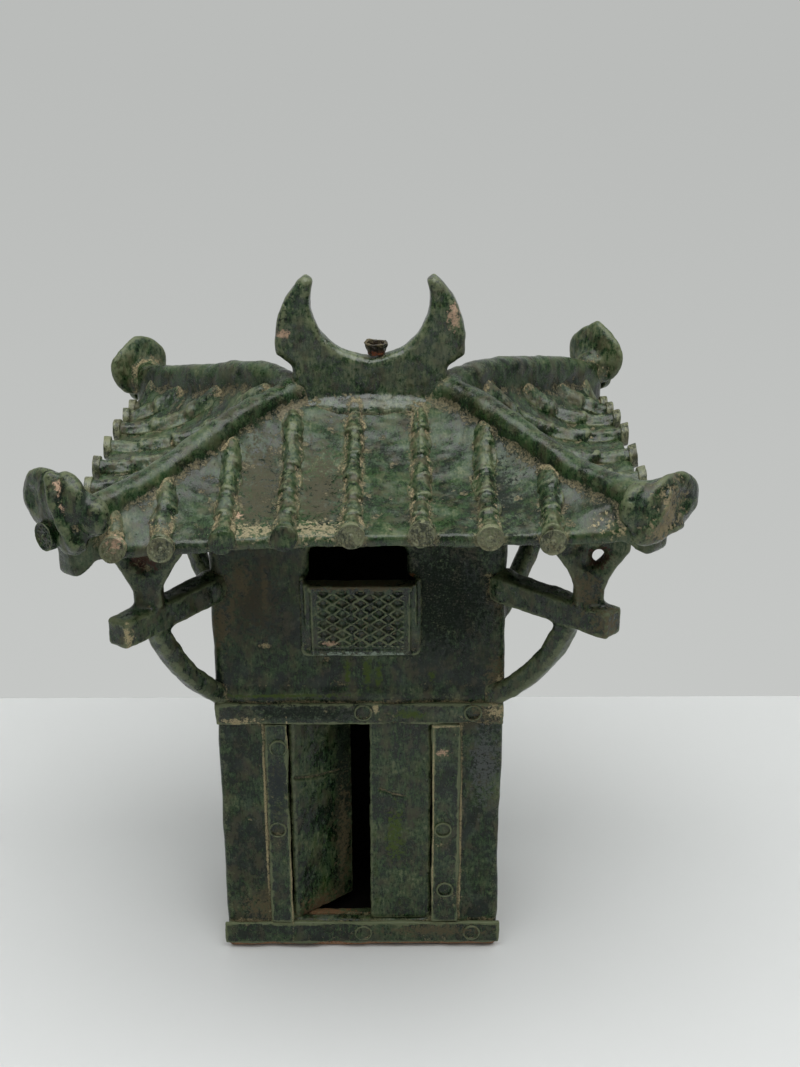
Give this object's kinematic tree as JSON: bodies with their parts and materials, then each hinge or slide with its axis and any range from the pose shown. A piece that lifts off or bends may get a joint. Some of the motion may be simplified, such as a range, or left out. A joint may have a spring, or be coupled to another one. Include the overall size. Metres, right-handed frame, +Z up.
{
  "type": "pottery watchtower",
  "caption": "Green glazed pottery watchtower top with a hipped tile roof, crescent ridge, corner brackets, lattice window and a pair of hinged door leaves.",
  "frame": {"origin": "below the middle of the roof, on the surface that the foot stands on", "axes": "+X to the right seen from the front, the doorway faces -Y, +Z up"},
  "size_m": [0.4058, 0.3161, 0.491],
  "materials": {
    "dark_green_glaze": "lead glaze, dark green, glossy",
    "green_glaze": "lead glaze, green, glossy with dull patches",
    "worn_pale_glaze": "worn green glaze with buff earth deposits",
    "bare_clay": "unglazed orange clay, matt"
  },
  "bodies": {
    "tower": {"crescent_ridge": "green_glaze", "floor_slab": "worn_pale_glaze", "front_left_beam": "green_glaze", "front_left_corner_leaf": "green_glaze", "front_left_hip_ridge": "green_glaze", "front_left_strut": "green_glaze", "front_left_yoke": "green_glaze", "front_right_beam": "green_glaze", "front_right_corner_leaf": "green_glaze", "front_right_hip_ridge": "green_glaze", "front_right_strut": "green_glaze", "front_right_yoke": "green_glaze", "front_slope": "green_glaze", "front_tile_roll_1": "worn_pale_glaze", "front_tile_roll_2": "worn_pale_glaze", "front_tile_roll_3": "worn_pale_glaze", "front_tile_roll_4": "worn_pale_glaze", "front_tile_roll_5": "worn_pale_glaze", "front_tile_roll_6": "worn_pale_glaze", "front_tile_roll_7": "worn_pale_glaze", "front_tile_roll_8": "worn_pale_glaze", "left_door_jamb": "green_glaze", "left_slope": "green_glaze", "left_tile_roll_1": "worn_pale_glaze", "left_tile_roll_2": "worn_pale_glaze", "left_tile_roll_3": "worn_pale_glaze", "left_tile_roll_4": "worn_pale_glaze", "left_tile_roll_5": "worn_pale_glaze", "left_tile_roll_6": "worn_pale_glaze", "left_tile_roll_7": "worn_pale_glaze", "left_wall": "dark_green_glaze", "lintel_band": "green_glaze", "lower_front_wall": "dark_green_glaze", "rear_left_beam": "green_glaze", "rear_left_corner_leaf": "green_glaze", "rear_left_hip_ridge": "green_glaze", "rear_left_strut": "green_glaze", "rear_left_yoke": "green_glaze", "rear_right_beam": "green_glaze", "rear_right_corner_leaf": "green_glaze", "rear_right_hip_ridge": "green_glaze", "rear_right_strut": "green_glaze", "rear_right_yoke": "green_glaze", "rear_slope": "green_glaze", "rear_wall": "dark_green_glaze", "ridge_ornament_stub": "bare_clay", "right_door_jamb": "green_glaze", "right_slope": "green_glaze", "right_tile_roll_1": "worn_pale_glaze", "right_tile_roll_2": "worn_pale_glaze", "right_tile_roll_3": "worn_pale_glaze", "right_tile_roll_4": "worn_pale_glaze", "right_tile_roll_5": "worn_pale_glaze", "right_tile_roll_6": "worn_pale_glaze", "right_wall": "dark_green_glaze", "sill_band": "green_glaze", "upper_front_wall": "dark_green_glaze", "window_panel": "worn_pale_glaze"},
    "left_leaf": {"left_door_leaf": "green_glaze"},
    "right_leaf": {"right_door_leaf": "green_glaze"}
  },
  "joints": [
    {"name": "left_door_hinge", "type": "hinge", "parent": "tower", "child": "left_leaf", "pos_m": [-0.052, -0.05225, 0.106], "axis": [0, 0, 1], "range_deg": [-40, 45]},
    {"name": "right_door_hinge", "type": "hinge", "parent": "tower", "child": "right_leaf", "pos_m": [0.043, -0.05225, 0.106], "axis": [0, 0, -1], "range_deg": [0, 85]}
  ]
}
